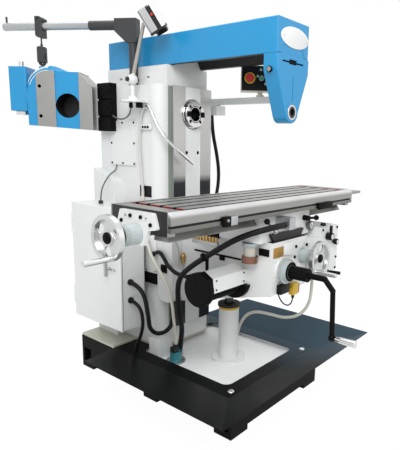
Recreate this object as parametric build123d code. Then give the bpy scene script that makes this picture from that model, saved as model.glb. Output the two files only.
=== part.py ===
from build123d import *
import math
import os

os.makedirs("parts", exist_ok=True)

# Knee and column milling machine, millimetres.
# X runs along the table from the operator's left to the right,
# Y runs from the operator towards the column, Z is up, the floor is Z = 0.

base_half_width = 358
base_half_length = 555
base_height = 183
deck_height = 163
foot_notch = 25
anchor_x = 320
anchor_y = 507
anchor_hole_radius = 11

tray_sheet = 4
tray_crease_x = 345
tray_crease_front = -529
tray_crease_back = 266
tray_rim_x = 618
tray_rim_front = -728
tray_rim_back = 130
tray_rim_height = 250
tray_corner = 38

column_half_width = 195
column_front = 74
column_back = 545
column_top = 1545
corner_radius = 60
way_front = 35
way_half_width = 136
way_root_half_width = 112
way_bottom = 300
way_top = 1541
cap_half_width = 142
cap_front = 75
cap_back = 540
cap_top = 1640
housing_half_width = 250
housing_front = 370
housing_top = 1060
plinth_half_width = 355
plinth_front = 268
plinth_top = 196

spindle_height = 1409.5
nose_radius = 64.285
nose_face = 17
taper_mouth_radius = 34.925
taper_depth = 105
bearing_outer = 75
spindle_pulley_radius = 90
motor_pulley_radius = 60
motor_height = 640
feed_motor_y = -385
feed_motor_height = 655

ram_half_width = 121
ram_bottom = 1642
ram_top = 1785
ram_front = -560
ram_back = 557
groove_mouth = 95
groove_floor = 70
groove_depth = 40

support_front = -565
support_back = -494
support_top = 1641.5
support_shoulder = 1575
support_eye_radius = 47
bush_bore = 16
bush_outer = 24

knee_half_width = 140
knee_front = -588
knee_top = 850
knee_flange_half_width = 215
knee_flange_front = -35
knee_bottom = 465
slide_gap = 0.4
screw_y = -230
crank_x = -70
crank_height = 720
crank_radius = 248
crank_face = -605
cross_x = 95
cross_height = 760

wheel_hole_reach = 47.5
wheel_hole_radius = 18.6

saddle_half_width = 200
saddle_front = -560
saddle_back = -180
saddle_top = 971

table_left = -739
table_right = 581
table_front = -594
table_back = -274
table_top = 1043
table_bottom = 972
table_middle = (table_front + table_back) / 2
table_end = 36
slot_pitch = 70
slot_width = 18
slots_left = -660
slots_right = 505
end_lip = 690
trough_width = 36
table_screw_height = 955
table_wheel_x = -872

jib_x = -168.5
jib_y = 292
jib_height = 1838
jib_turn = 118.2
trolley_reach = 505
head_turn = -51.9
head_round = (47, 1508)
head_round_radius = 134

hinge_line = (-400, 537)
hinge_heights = (440, 830)

pendant_x = 232
pendant_pivot_y = 85
pendant_box_y = -215
pendant_turn = -51.9

lamp_x = -250
lamp_y = 202
lamp_joint = (-250, 112, 1805)
lamp_facing = (0.448, -0.756, 0.485)
lamp_long = (0.586, -0.18, -0.79)


def block(x0, x1, y0, y1, z0, z1):
    middle = Pos((x0 + x1) / 2, (y0 + y1) / 2, (z0 + z1) / 2)
    return middle * Box(x1 - x0, y1 - y0, z1 - z0)


def prism_x(outline, x0, x1):
    face = Plane.YZ.offset(x0) * Polygon(*outline, align=None)
    return extrude(face, amount=x1 - x0, dir=(1, 0, 0))


def prism_y(outline, y0, y1):
    face = Plane.XZ.offset(-y0) * Polygon(*outline, align=None)
    return extrude(face, amount=y1 - y0, dir=(0, 1, 0))


def prism_z(outline, z0, z1):
    face = Plane.XY.offset(z0) * Polygon(*outline, align=None)
    return extrude(face, amount=z1 - z0, dir=(0, 0, 1))


def rod(start, end, radius, end_radius=None):
    run = Vector(*end) - Vector(*start)
    plane = Plane(origin=start, z_dir=run)
    placed = (Align.CENTER, Align.CENTER, Align.MIN)
    if end_radius is None:
        return plane * Cylinder(radius, run.length, align=placed)
    return plane * Cone(radius, end_radius, run.length, align=placed)


def rod_x(x0, x1, y, z, radius):
    return rod((x0, y, z), (x1, y, z), radius)


def rod_y(y0, y1, x, z, radius):
    return rod((x, y0, z), (x, y1, z), radius)


def rod_z(z0, z1, x, y, radius):
    return rod((x, y, z0), (x, y, z1), radius)


def turned(place, angle, shape):
    return Pos(*place) * Rot(0, 0, angle) * shape


def save(name, shape):
    export_step(shape, "parts/" + name + ".step")


def group(*shapes):
    return Compound(children=list(shapes))


def cord(name, diameter, points):
    spots = [Vector(*p) for p in points]
    runs = [b - a for a, b in zip(spots, spots[1:])]
    radii = []
    for first, second in zip(runs, runs[1:]):
        turn = math.radians(first.get_angle(second))
        shorter = min(first.length, second.length)
        radii.append(round(0.45 * shorter / math.tan(turn / 2), 1))
    route = FilletPolyline(*points, radius=radii)
    section = Plane(origin=points[0], z_dir=runs[0]) * Circle(diameter / 2)
    solid = sweep(section, path=route)
    print(name, "length", round(route.length), "radii", radii)
    print("  volume", round(solid.volume), "of", round(math.pi * diameter ** 2 / 4 * route.length))
    save(name, solid)


def make_base():
    body = block(-base_half_width, base_half_width, -base_half_length, base_half_length, 0, base_height)
    hollow = block(-325, 325, -520, 520, -1, 135)
    for side_x in (-1, 1):
        for side_y in (-1, 1):
            x0, x1 = sorted((side_x * 270, side_x * 330))
            y0, y1 = sorted((side_y * 455, side_y * 530))
            hollow -= block(x0, x1, y0, y1, -2, 140)
    body -= hollow
    deck = Pos(0, -130) * RectangleRounded(580, 770, tray_corner + 20)
    body -= extrude(Plane.XY.offset(deck_height) * deck, amount=base_height - deck_height + 1)
    body -= block(-240, 240, -base_half_length - 1, base_half_length + 1, -1, foot_notch)
    for y0, y1 in ((-455, -75), (25, 455)):
        body -= block(-base_half_width - 1, base_half_width + 1, y0, y1, -1, foot_notch)
    for side_x in (-1, 1):
        for side_y in (-1, 1):
            x0, x1 = sorted((side_x * 295, side_x * 360))
            y0, y1 = sorted((side_y * 475, side_y * 538))
            body -= block(x0, x1, y0, y1, 32, 115)
            body -= rod_z(-1, 40, side_x * anchor_x, side_y * anchor_y, anchor_hole_radius)
    body -= rod_z(130, 170, 0, screw_y, 30)
    save("base_casting", body)


def tray_sheet_piece(low_edge, high_edge):
    drop = (0, 0, -tray_sheet)
    lower = [tuple(a + b for a, b in zip(p, drop)) for p in low_edge]
    upper = [tuple(a + b for a, b in zip(p, drop)) for p in high_edge]
    top = [low_edge[0], low_edge[1], high_edge[1], high_edge[0]]
    under = [lower[0], lower[1], upper[1], upper[0]]
    faces = [Face(Wire.make_polygon([Vector(*p) for p in ring])) for ring in (top, under)]
    for i in range(4):
        j = (i + 1) % 4
        ring = [top[i], top[j], under[j], under[i]]
        faces.append(Face(Wire.make_polygon([Vector(*p) for p in ring])))
    return Solid(Shell(faces))


def make_tray():
    low = base_height + tray_sheet
    high = tray_rim_height
    sheet = block(-tray_crease_x, tray_crease_x, tray_crease_front, tray_crease_back, base_height, low)
    mouth = Pos(0, -160.5) * RectangleRounded(540, 589, tray_corner)
    sheet -= extrude(Plane.XY.offset(base_height - 1) * mouth, amount=tray_sheet + 2)
    sheet -= block(-200, 200, 60, tray_crease_back + 1, base_height - 1, low + 1)
    for side in (-1, 1):
        crease_x = side * tray_crease_x
        rim_x = side * tray_rim_x
        crease = [(crease_x, tray_crease_front, low), (crease_x, tray_crease_back, low)]
        rim = [(rim_x, tray_rim_front, high), (rim_x, tray_rim_back, high)]
        sheet += tray_sheet_piece(crease, rim)
    crease = [(-tray_crease_x, tray_crease_front, low), (tray_crease_x, tray_crease_front, low)]
    rim = [(-tray_rim_x, tray_rim_front, high), (tray_rim_x, tray_rim_front, high)]
    sheet += tray_sheet_piece(crease, rim)
    save("chip_tray", sheet)


def make_column():
    floor = base_height
    outline = RectangleRounded(2 * column_half_width, column_back - column_front, corner_radius - 1)
    middle_y = (column_front + column_back) / 2
    body = extrude(Plane.XY.offset(floor) * Pos(0, middle_y) * outline, amount=column_top - floor)
    body += block(-column_half_width, column_half_width, 400, column_back, floor, column_top)
    ways = [(-way_half_width, way_front), (way_half_width, way_front)]
    ways += [(way_root_half_width, column_front + 1), (-way_root_half_width, column_front + 1)]
    body += prism_z(ways, way_bottom, way_top)
    body -= block(-53, 53, way_front - 1, way_front + 4, way_bottom - 1, way_top + 1)
    side = [(housing_front, floor), (column_back, floor), (column_back, housing_top + 60)]
    side += [(housing_front, housing_top)]
    body += prism_x(side, -housing_half_width, housing_half_width)
    body += block(-plinth_half_width, plinth_half_width, plinth_front, column_back + 8, floor, plinth_top)
    body += block(-cap_half_width, cap_half_width, cap_front, cap_back, column_top - 1, cap_top)
    rail = [(-groove_mouth + 0.5, cap_top - 1), (groove_mouth - 0.5, cap_top - 1)]
    rail += [(groove_floor - 0.5, cap_top + groove_depth), (-groove_floor + 0.5, cap_top + groove_depth)]
    body += prism_y(rail, cap_front, cap_back)
    body += block(column_half_width - 5, 262, 45, 125, 1420, 1468)
    body -= rod_z(1428, 1470, pendant_x, pendant_pivot_y, 10)
    body -= block(-165, 165, 150, 515, 500, 1520)
    body -= block(-140, 140, 510, column_back + 10, 520, 1250)
    body -= rod_y(way_front - 1, 160, 0, spindle_height, bearing_outer)
    body -= rod_y(500, column_back + 1, 0, spindle_height, 55)
    body -= block(-column_half_width - 1, -160, 266, 431, 1163, 1351)
    body -= block(-column_half_width - 1, -170, 134, 225, 988, 1046)
    body -= rod_z(column_top - 60, column_top + 1, jib_x, jib_y, 15.05)
    for y in (214, 432):
        body -= block(-cap_half_width - 1, -118, y - 11, y + 11, 1584, 1592)
    for x in (-41, 41):
        body -= rod_y(way_front, way_front + 30, x, 1217, 9)
    save("column_casting", body)


def make_covers():
    plate = block(-203, -column_half_width, 246, 451, 1143, 1371)
    save("side_cover", fillet(plate.edges().filter_by(Axis.X), 8))
    plate = block(-160, 160, column_back, column_back + 6, 500, 1270)
    save("rear_cover", plate)


def make_drive():
    motor = rod_y(190, 420, 0, motor_height, 108)
    motor += block(-100, 100, 210, 400, 500, 560)
    motor += block(-60, 60, 240, 340, 730, 790)
    motor -= rod_y(400, 421, 0, motor_height, 16)
    save("main_motor", motor)
    wheel = rod_y(440, 496, 0, motor_height, motor_pulley_radius)
    wheel += rod_y(402, 440, 0, motor_height, 15.95)
    save("motor_pulley", wheel)
    loops = []
    for rise in (10, 0.4):
        upper = Pos(0, spindle_height) * Circle(spindle_pulley_radius + rise)
        lower = Pos(0, motor_height) * Circle(motor_pulley_radius + rise)
        loop = Plane.XZ.offset(-446) * make_hull(upper.edges() + lower.edges())
        loops.append(extrude(loop, amount=44, dir=(0, 1, 0)))
    save("drive_belt", loops[0] - loops[1])
    shaft = rod_y(nose_face, way_front, 0, spindle_height, nose_radius)
    shaft += rod_y(way_front, 42, 0, spindle_height, nose_radius - 3)
    shaft += rod_y(42, 62, 0, spindle_height, 70)
    shaft += rod_y(62, 132, 0, spindle_height, 48)
    shaft += rod_y(132, 440, 0, spindle_height, 42)
    shaft += rod_y(440, 496, 0, spindle_height, spindle_pulley_radius)
    shaft += rod_y(496, 549, 0, spindle_height, 32)
    mouth = (0, nose_face, spindle_height)
    inside = (0, nose_face + taper_depth, spindle_height)
    shaft -= rod(mouth, inside, taper_mouth_radius, taper_mouth_radius - taper_depth * 7 / 48)
    shaft -= rod_y(100, 560, 0, spindle_height, 13)
    for side in (-1, 1):
        x0, x1 = side * 49 - 9, side * 49 + 9
        low, high = spindle_height - 12.7, spindle_height + 12.7
        shaft += block(x0, x1, nose_face - 9, nose_face + 10, low, high)
    for x in (-36, 36):
        for z in (-36, 36):
            shaft -= rod_y(nose_face - 1, nose_face + 20, x, spindle_height + z, 8)
    save("spindle", shaft)
    front = rod_y(66, 128, 0, spindle_height, bearing_outer) - rod_y(60, 140, 0, spindle_height, 48.03)
    rear = rod_y(512, 543, 0, spindle_height, 55) - rod_y(510, 550, 0, spindle_height, 32.03)
    save("spindle_bearings", group(front, rear))


def make_ram():
    body = block(-ram_half_width, ram_half_width, ram_front, ram_back, ram_bottom, ram_top)
    body = fillet(body.edges().filter_by(Axis.Y).group_by(Axis.Z)[-1], 6)
    body = fillet(body.faces().sort_by(Axis.Y)[0].edges(), 4)
    low = ram_bottom - 2
    high = low + groove_depth + 1
    groove = [(-groove_mouth, low), (groove_mouth, low)]
    groove += [(groove_floor, high), (-groove_floor, high)]
    body -= prism_y(groove, ram_front - 1, ram_back + 1)
    save("ram", body)


def make_support():
    eye = Pos(0, spindle_height) * Circle(support_eye_radius)
    shoulder = Pos(0, (support_shoulder + support_top) / 2)
    shoulder *= Rectangle(2 * ram_half_width, support_top - support_shoulder)
    outline = Plane.XZ.offset(-support_front) * make_hull(eye.edges() + shoulder.edges())
    body = extrude(outline, amount=support_back - support_front, dir=(0, 1, 0))
    body = fillet(body.faces().sort_by(Axis.Y)[0].edges(), 5)
    low = support_top - 0.5
    key = [(-groove_mouth + 1.5, low), (groove_mouth - 1.5, low)]
    high = ram_bottom + groove_depth - 2
    key += [(groove_floor - 1, high), (-groove_floor + 1, high)]
    body += prism_y(key, support_front + 6, support_back)
    body -= rod_y(support_front - 1, support_back + 1, 0, spindle_height, bush_outer)
    body -= block(-2, 2, support_front - 1, support_back + 1, spindle_height + 15, 1560)
    body -= rod_x(-ram_half_width - 1, -60, -530, 1576, 9)
    body -= block(-85, 79, support_front - 1, support_front + 9, 1611, 1618)
    body -= block(-35, 24, support_front - 1, support_front + 6, 1606, 1626)
    save("arbor_support", body)
    bush = rod_y(support_front - 3, support_back + 3, 0, spindle_height, bush_outer)
    bush -= rod_y(support_front - 4, support_back + 4, 0, spindle_height, bush_bore)
    save("support_bush", bush)


def make_knee():
    side = [(knee_front, 610), (knee_front, knee_top), (way_front - slide_gap, knee_top)]
    side += [(way_front - slide_gap, knee_bottom), (knee_flange_front, knee_bottom), (-330, 545)]
    body = prism_x(side, -knee_half_width, knee_half_width)
    hollow = [(knee_front + 25, 640), (knee_front + 25, knee_top - 30), (knee_flange_front, knee_top - 30)]
    hollow += [(knee_flange_front, 520), (-330, 575)]
    body -= prism_x(hollow, -knee_half_width + 18, knee_half_width - 18)
    wide = block(-knee_flange_half_width, knee_flange_half_width, knee_flange_front, 73, knee_bottom, 830)
    wide = chamfer(wide.edges().filter_by(Axis.X).group_by(Axis.Z)[0], 25)
    lean = (way_half_width - way_root_half_width) / (column_front + 1 - way_front)
    mouth = way_half_width + lean * slide_gap + 0.5
    root = way_half_width - lean * (column_front + 2 - way_front) + 0.5
    slot = [(-mouth, way_front - slide_gap), (mouth, way_front - slide_gap)]
    slot += [(root, column_front + 2), (-root, column_front + 2)]
    body += wide
    body -= prism_z(slot, knee_bottom - 1, knee_top + 1)
    rail = [(-110, knee_top - 1), (110, knee_top - 1), (135, knee_top + 34), (-135, knee_top + 34)]
    body += prism_y(rail, knee_front + 15, -45)
    body -= block(-60, 115, knee_front + 60, -60, knee_top - 40, knee_top + 60)
    body -= rod_z(500, 600, 0, screw_y, 30)
    body += rod_y(crank_face, knee_front + 1, crank_x, crank_height, 52)
    body -= rod_y(crank_face - 1, knee_front + 30, crank_x, crank_height, 16.05)
    body -= rod_y(knee_front - 1, knee_front + 30, cross_x, cross_height, 14.05)
    save("knee", body)
    tube = rod_z(deck_height, 466, 0, screw_y, 52) + rod_z(deck_height, deck_height + 14, 0, screw_y, 88)
    tube -= rod_z(deck_height - 1, 470, 0, screw_y, 26)
    tube += rod_z(452, 466, 0, screw_y, 58) - rod_z(440, 470, 0, screw_y, 30)
    save("elevating_tube", tube)
    screw = rod_z(40, 700, 0, screw_y, 22) + rod_z(700, 740, 0, screw_y, 50)
    save("elevating_screw", screw)


def make_crank():
    dial = rod_y(-624, crank_face - 0.5, crank_x, crank_height, 58)
    dial += rod_y(-642, -624, crank_x, crank_height, 47)
    dial -= rod_y(-650, -600, crank_x, crank_height, 20.05)
    save("crank_dial", dial)
    shaft = rod_y(-610, -180, crank_x, crank_height, 16) + rod_y(-280, -180, crank_x, crank_height, 19.2)
    shaft += rod_y(-732, crank_face - 1, crank_x, crank_height, 20)
    hub = rod_y(-732, -644, crank_x, crank_height, 30)
    bend = crank_height - crank_radius
    reach = (crank_x, -811, crank_height)
    corner = (crank_x, -852, 677)
    end = (crank_x, -861, bend)
    arm = rod((crank_x, -726, crank_height), reach, 13) + rod(reach, corner, 12) + rod(corner, end, 11)
    for spot, radius in ((reach, 13), (corner, 12), (end, 16)):
        arm += Pos(*spot) * Sphere(radius)
    save("crank_arm", shaft + hub + arm)
    grip = rod((crank_x, -878, bend), (crank_x, -900, bend), 9, 13)
    grip += rod((crank_x, -900, bend), (crank_x, -970, bend), 13, 16)
    save("crank_grip", grip)


def handwheel(rim_radius, hub_radius, bore):
    wheel = rod_z(-10, 10, 0, 0, rim_radius) - rod_z(-11, 11, 0, 0, rim_radius - 16)
    wheel += rod_z(-16, 2, 0, 0, hub_radius)
    wheel += rod_z(-9, -2, 0, 0, rim_radius - 10)
    for i in range(3):
        wheel -= Rot(0, 0, 120 * i + 90) * rod_z(-12, 12, wheel_hole_reach, 0, wheel_hole_radius)
    wheel -= rod_z(-20, 20, 0, 0, bore)
    knob = rod_z(4, 20, rim_radius - 10, 0, 7) + rod_z(20, 114, rim_radius - 10, 0, 10)
    return wheel + knob


def make_cross_feed():
    save("cross_screw", rod_y(-692, -90, cross_x, cross_height, 14))
    dial = rod_y(-650, knee_front - 0.5, cross_x, cross_height, 33)
    dial += rod_y(-670, -649, cross_x, cross_height, 29)
    dial -= rod_y(-680, -580, cross_x, cross_height, 14.05)
    save("cross_dial", dial)
    wheel = Rot(90, 0, 0) * Rot(0, 0, -135) * handwheel(82, 28, 14)
    save("cross_handwheel", Pos(cross_x, -690, cross_height) * wheel)


def make_saddle():
    low = knee_top + slide_gap
    body = block(-saddle_half_width, saddle_half_width, saddle_front, saddle_back, low, saddle_top)
    narrow = 110 + 25 / 35 + 0.5
    wide = narrow + 25
    rail = [(-narrow, knee_top), (narrow, knee_top), (wide, knee_top + 35), (-wide, knee_top + 35)]
    body -= prism_y(rail, saddle_front - 1, saddle_back + 1)
    low, high = table_middle - 110.6, table_middle + 110.6
    groove = [(low, 929.5), (high, 929.5), (high - 26, table_bottom + 1), (low + 26, table_bottom + 1)]
    body -= prism_x(groove, -saddle_half_width - 1, saddle_half_width + 1)
    nut = block(-60, 60, table_middle - 30, table_middle + 30, 905, 974.5)
    nut -= rod_x(-61, 61, table_middle, table_screw_height, 16.05)
    lug = block(65, 112, -420, -340, 735, knee_top + 60)
    lug -= rod_y(-421, -339, cross_x, cross_height, 14.05)
    body += block(-87, -40, -636, saddle_front + 1, 908, 960)
    body += nut
    body += lug
    save("saddle", body)


def make_table():
    length = (table_left, table_right)
    body = block(*length, table_front, table_back, table_bottom, table_top)
    upper = body.edges().filter_by(Axis.X).group_by(Axis.Z)[-1].sort_by(Axis.Y)
    body = chamfer(upper[0], 13)
    low, high = table_middle - 110, table_middle + 110
    tongue = [(low, 930), (high, 930), (high - 26, table_bottom + 1), (low + 26, table_bottom + 1)]
    body += prism_x(tongue, table_left + table_end, table_right - table_end)
    for x0, x1 in ((table_left, table_left + table_end), (table_right - table_end, table_right)):
        body += block(x0, x1, table_front + 18, table_back - 8, 957, table_bottom + 1)
    body -= block(table_left - 1, table_right + 1, table_middle - 36, table_middle + 36, 920, 976)
    for i in (-1, 0, 1):
        y = table_middle + i * slot_pitch
        neck = slot_width / 2
        body -= block(slots_left, slots_right, y - neck, y + neck, 1010, table_top + 1)
        body -= block(slots_left, slots_right, y - 16, y + 16, 1006, 1022)
    for y in (table_front + 26, table_back - 26):
        body -= block(slots_left, slots_right, y - 8, y + 8, 1029, table_top + 1)
    for x in (slots_left + 3, slots_right - 5):
        reach = trough_width / 2
        body -= block(x - reach, x + reach, table_front + 18, table_back - 18, 1006, table_top + 1)
    body -= block(table_left - 1, table_right - 20, table_front - 1, table_front + 9, 988, 997)
    save("table", body)
    parts = []
    for face, side in ((table_left, -1), (table_right, 1)):
        x0, x1 = sorted((face, face + side * 16))
        outline = [(table_middle - 88, 1034), (table_middle - 107, 979), (table_middle - 62, 972)]
        outline += [(table_middle - 38, 915), (table_middle + 38, 915), (table_middle + 62, 972)]
        outline += [(table_middle + 107, 979), (table_middle + 88, 1034)]
        plate = prism_x(outline, x0, x1)
        plate = fillet(plate.edges().filter_by(Axis.X), 6)
        plate -= rod_x(x0 - 1, x1 + 1, table_middle, table_screw_height, 16.05)
        if side > 0:
            plate += block(table_right, end_lip, table_front + 2, table_back - 2, 1016, 1029)
        parts.append(plate)
    save("end_brackets", group(*parts))
    save("table_screw", rod_x(-874, table_right + 40, table_middle, table_screw_height, 16))
    dial = rod_x(-823, -756, table_middle, table_screw_height, 38)
    dial += rod_x(-850, -822, table_middle, table_screw_height, 34)
    dial -= rod_x(-860, -750, table_middle, table_screw_height, 16.05)
    save("table_dial", dial)
    wheel = Rot(0, -90, 0) * Rot(0, 0, 205) * handwheel(79, 28, 16)
    save("table_handwheel", Pos(table_wheel_x, table_middle, table_screw_height) * wheel)


def make_feed_drive():
    motor = rod_x(-372, -knee_half_width, feed_motor_y, feed_motor_height, 62)
    flange = rod_x(-165, -knee_half_width, feed_motor_y, feed_motor_height, 88)
    motor += flange - block(-170, -130, -500, -280, 640, 760)
    cowl = rod_x(-402, -372, feed_motor_y, feed_motor_height, 75)
    cowl += prism_x([(-311, 648), (-326, 712), (-404, 738), (-452, 712), (-459, 648)], -402, -372)
    motor += fillet(cowl.faces().sort_by(Axis.X)[0].edges(), 5)
    save("feed_motor", motor)
    outside = [(-332, 707), (-404, 738), (-452, 712), (-452, 646)]
    inside = [(-449, 646), (-449, 710.3), (-403.7, 734.7), (-334, 704.5)]
    save("motor_hood", prism_x(outside + inside, -371.5, -knee_half_width))
    box = block(knee_half_width, 385, -625, -420, 640, 838)
    box += block(215, 385, -625, -420, 838, 880)
    box = fillet(box.edges().filter_by(Axis.Y).group_by(Axis.X)[-1], 14)
    box -= rod_y(-626, -600, 274, 832, 8.05)
    save("feed_gearbox", box)
    lever = rod_y(-650, -602, 274, 832, 8) + rod_y(-656, -626, 274, 832, 19)
    lever += block(267, 281, -650, -640, 832, 886)
    save("feed_lever", lever)
    bowl = rod_z(758, 788, -182, -496, 36) + rod_z(788, 833, -182, -496, 27)
    bowl += rod_z(833, 848, -182, -496, 37)
    bowl += block(-182, -knee_half_width, -520, -472, 824, 848)
    save("lubricator", bowl)
    hub = rod_y(-592, saddle_front - 0.4, 150, 930, 13)
    handle = rod((150, -582, 930), (197, -600, 929), 6) + Pos(199, -601, 929) * Sphere(13)
    save("clamp_lever", hub + handle)


def make_coolant():
    pump = rod_z(deck_height, deck_height + 8, -212, -58, 50) + rod_z(deck_height + 8, 218, -212, -58, 30)
    pump += block(-240, -206, -76, -46, 217, 246) + rod_z(217, 256, -212, -58, 12)
    save("coolant_pump", pump)


def make_cabinet():
    body = block(-386, -housing_half_width, 135, 535, 325, 945)
    body -= block(-390, -housing_half_width - 4, 139, 531, 329, 941)
    body += block(-262, -254, 160, 510, 360, 900)
    for z in (480, 574):
        body += rod_y(125, 136, -343, z, 16)
    body += rod_z(944, 962, -330, 375, 12)
    for z in hinge_heights:
        body += block(-384, -376, 530, 541, z - 18, z + 18) + block(-400, -376, 537.6, 541, z - 18, z + 18)
        body += rod_z(z - 18, z + 18, *hinge_line, 5)
    save("electrical_cabinet", body)
    door = block(-400, -387, 133, 537, 323, 947)
    door = fillet(door.faces().sort_by(Axis.X)[0].edges(), 4)
    door -= rod_x(-401, -386, 215, 640, 8.05)
    for z in hinge_heights:
        door -= rod_z(z - 19, z + 19, *hinge_line, 5.5)
        for low in (z - 49, z + 19):
            door += rod_z(low, low + 30, *hinge_line, 5)
    save("cabinet_door", door)
    handle = rod_x(-420, -384, 215, 640, 8) + block(-434, -420, 209, 221, 605, 675)
    save("door_handle", handle)


def make_pendant():
    arm = block(pendant_x - 16, pendant_x + 16, -311, 116, 1474, 1506)
    arm += rod_z(1430, 1476, pendant_x, pendant_pivot_y, 9.95)
    arm += rod_z(1468.4, 1475, pendant_x, pendant_pivot_y, 22)
    arm -= rod_z(1485, 1510, pendant_x, pendant_box_y, 12.05)
    save("pendant_arm", arm)
    box = block(-100, 100, -40, 40, 1530, 1655)
    box = fillet(box.edges().filter_by(Axis.Z), 8)
    box += rod_z(1486, 1532, 0, 0, 12)
    box += rod_z(1506.4, 1516, 0, 0, 20)
    for x, radius in ((-54, 10), (4, 8)):
        box -= rod_y(-41, -20, x, 1594, radius)
    place = (pendant_x, pendant_box_y, 0)
    save("pendant_box", turned(place, pendant_turn, box))
    stop = rod_y(-60, -48, -54, 1594, 20) + rod_y(-48, -28, -54, 1594, 9.95)
    save("stop_button", turned(place, pendant_turn, stop))
    start = rod_y(-52, -28, 4, 1594, 7.95)
    save("start_button", turned(place, pendant_turn, start))


def make_jib():
    post = rod_z(column_top - 58, column_top + 2, 0, 0, 15)
    post += rod_z(column_top + 0.4, column_top + 12, 0, 0, 25)
    post += rod((0, 0, column_top + 12), (0, 0, 1755), 20, 23)
    side = [(-28, 1752), (28, 1752), (88, 1806), (88, 1866), (-28, 1866)]
    elbow = prism_y(side, -26, 26)
    bar = rod_x(80, 230, 0, jib_height, 23) + rod_x(230, 712, 0, jib_height, 19)
    bar += rod_z(jib_height + 10, jib_height + 50, 698, 0, 5)
    arm = turned((jib_x, jib_y, 0), jib_turn, post + elbow + bar)
    save("jib_arm", arm)
    low, high = trolley_reach - 18.5, trolley_reach + 18.5
    clamp = block(low, high, -24, 24, 1782, 1884)
    ends = clamp.edges().filter_by(Axis.Y).sort_by(Axis.X)
    lower = ends[2:].sort_by(Axis.Z)[0]
    upper = ends[:2].sort_by(Axis.Z)[1]
    clamp = fillet([lower, upper], 16)
    clamp -= rod_x(low - 1, high + 1, 0, jib_height, 19.35)
    clamp -= rod_y(-25, 25, trolley_reach + 4, 1871, 5)
    clamp += rod_x(low - 15, low + 1, 0, 1864, 7)
    link = rod_z(1738, 1783, trolley_reach, 0, 4) + Pos(trolley_reach, 0, 1748) * Sphere(7)
    fork = block(trolley_reach - 17, trolley_reach + 17, -20, 20, 1660, 1741)
    fork = fillet(fork.faces().sort_by(Axis.Z)[-1].edges(), 11)
    fork -= block(trolley_reach - 18, trolley_reach + 18, -6, 6, 1659, 1700)
    fork += rod_y(-20, 20, trolley_reach, 1674, 7)
    eye = rod_y(-5, 5, trolley_reach, 1663, 20) - rod_y(-6, 6, trolley_reach, 1663, 9)
    eye += rod_z(1640, 1648, trolley_reach, 0, 8)
    trolley = clamp + link + fork + eye
    save("hoist_trolley", turned((jib_x, jib_y, 0), jib_turn, trolley))


def head_place(shape):
    turn = math.radians(jib_turn)
    x = jib_x + trolley_reach * math.cos(turn)
    y = jib_y + trolley_reach * math.sin(turn)
    return turned((x, y, 0), head_turn, shape)


def make_head():
    outline = [(-72, 1315), (270, 1315), (270, 1545), (206, 1607), (206, 1645), (-72, 1645)]
    body = prism_y(outline, -40, 110)
    body += block(-22, 76, -46, -39, 1315, 1645)
    strip = [(200, 1315), (270, 1315), (270, 1545), (206, 1607), (200, 1607)]
    body += prism_y(strip, -46, -39)
    x, z = head_round
    rounded = rod((x, -47, z), (x, -20, z), head_round_radius - 26, head_round_radius)
    rounded += rod_y(-20, 111, x, z, head_round_radius)
    rounded += block(-73, 271, -47, 111, 1314, z) + block(100, 271, -47, 111, z - 5, 1612)
    body &= rounded
    body += rod_x(-78, -60, 35, 1482, 75)
    body += block(-14, 14, -14, 14, 1600, 1640)
    body -= rod_y(-47, 70, 138, 1442, 62)
    body -= prism_y([(-74, 1310), (272, 1310), (272, 1319), (-74, 1338)], -48, 112)
    for z in (1386, 1537):
        body -= rod_y(-47, -10, -4, z, 9)
    body -= rod_x(-79, -50, 35, 1482, 20)
    save("vertical_head", head_place(body))
    swivel = block(-172, -78.4, -28, 98, 1411, 1635)
    swivel = fillet(swivel.edges().filter_by(Axis.Z), 10)
    swivel += rod_x(-84, -52, 35, 1482, 19.95)
    swivel -= rod_z(1400, 1640, -128, 35, 30)
    save("head_swivel", head_place(swivel))
    shaft = rod_z(1396, 1640, -128, 35, 29.95) + rod_z(1392, 1409, -128, 35, 40)
    shaft += rod_z(1640, 1668, -128, 35, 14)
    shaft -= rod_z(1391, 1450, -128, 35, 12)
    save("head_spindle", head_place(shaft))
    bracket = block(-240, -column_half_width, 400, 505, 1317, 1561)
    bracket -= block(-203.5, -column_half_width + 1, 399, 452, 1316, 1372)
    for z in (1388, 1474):
        bracket -= block(-241, -232, 399, 506, z, z + 8)
    save("head_bracket", bracket)


def make_lamp():
    plate = rod_z(1455, 1465, lamp_x, lamp_y, 60)
    plate += block(lamp_x, -column_half_width, lamp_y - 48, lamp_y + 48, 1455, 1465)
    plate &= block(-400, -column_half_width, 0, 400, 1400, 1600)
    plate += rod((lamp_x, lamp_y, 1465), (lamp_x, lamp_y, 1485), 30, 15)
    plate += rod_z(1484, 1535, lamp_x, lamp_y, 11)
    plate -= rod_z(1500, 1536, lamp_x, lamp_y, 6.05)
    plate += rod_z(1430, 1456, lamp_x, lamp_y + 14, 9)
    plate += rod_z(1430, 1456, lamp_x + 13, lamp_y - 34, 16.5)
    save("lamp_bracket", plate)
    arm = Pos(lamp_x, lamp_y, 1562) * Sphere(26) + rod_z(1502, 1562, lamp_x, lamp_y, 6)
    arm += rod_x(lamp_x - 34, lamp_x + 34, lamp_y, 1562, 11)
    arm += rod((lamp_x, lamp_y, 1562), lamp_joint, 8.5)
    seat = Plane(origin=lamp_joint, x_dir=lamp_long, z_dir=lamp_facing)
    arm += seat * rod_y(-11, 11, 0, 0, 8.6)
    arm -= seat * rod_y(-12, 12, 0, 0, 4.05)
    save("lamp_arm", arm)
    shell = block(-59, 59, -40, 40, 9, 51)
    shell += block(-55, 55, -37, 37, 51, 73)
    shell += block(-58, 58, -40, 40, 73, 89)
    for y0, y1 in ((-17, -11.6), (11.6, 17)):
        shell += block(-7, 7, y0, y1, -7, 10)
    shell += rod_y(-17, 17, 0, 0, 4)
    save("lamp_head", seat * shell)


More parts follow.
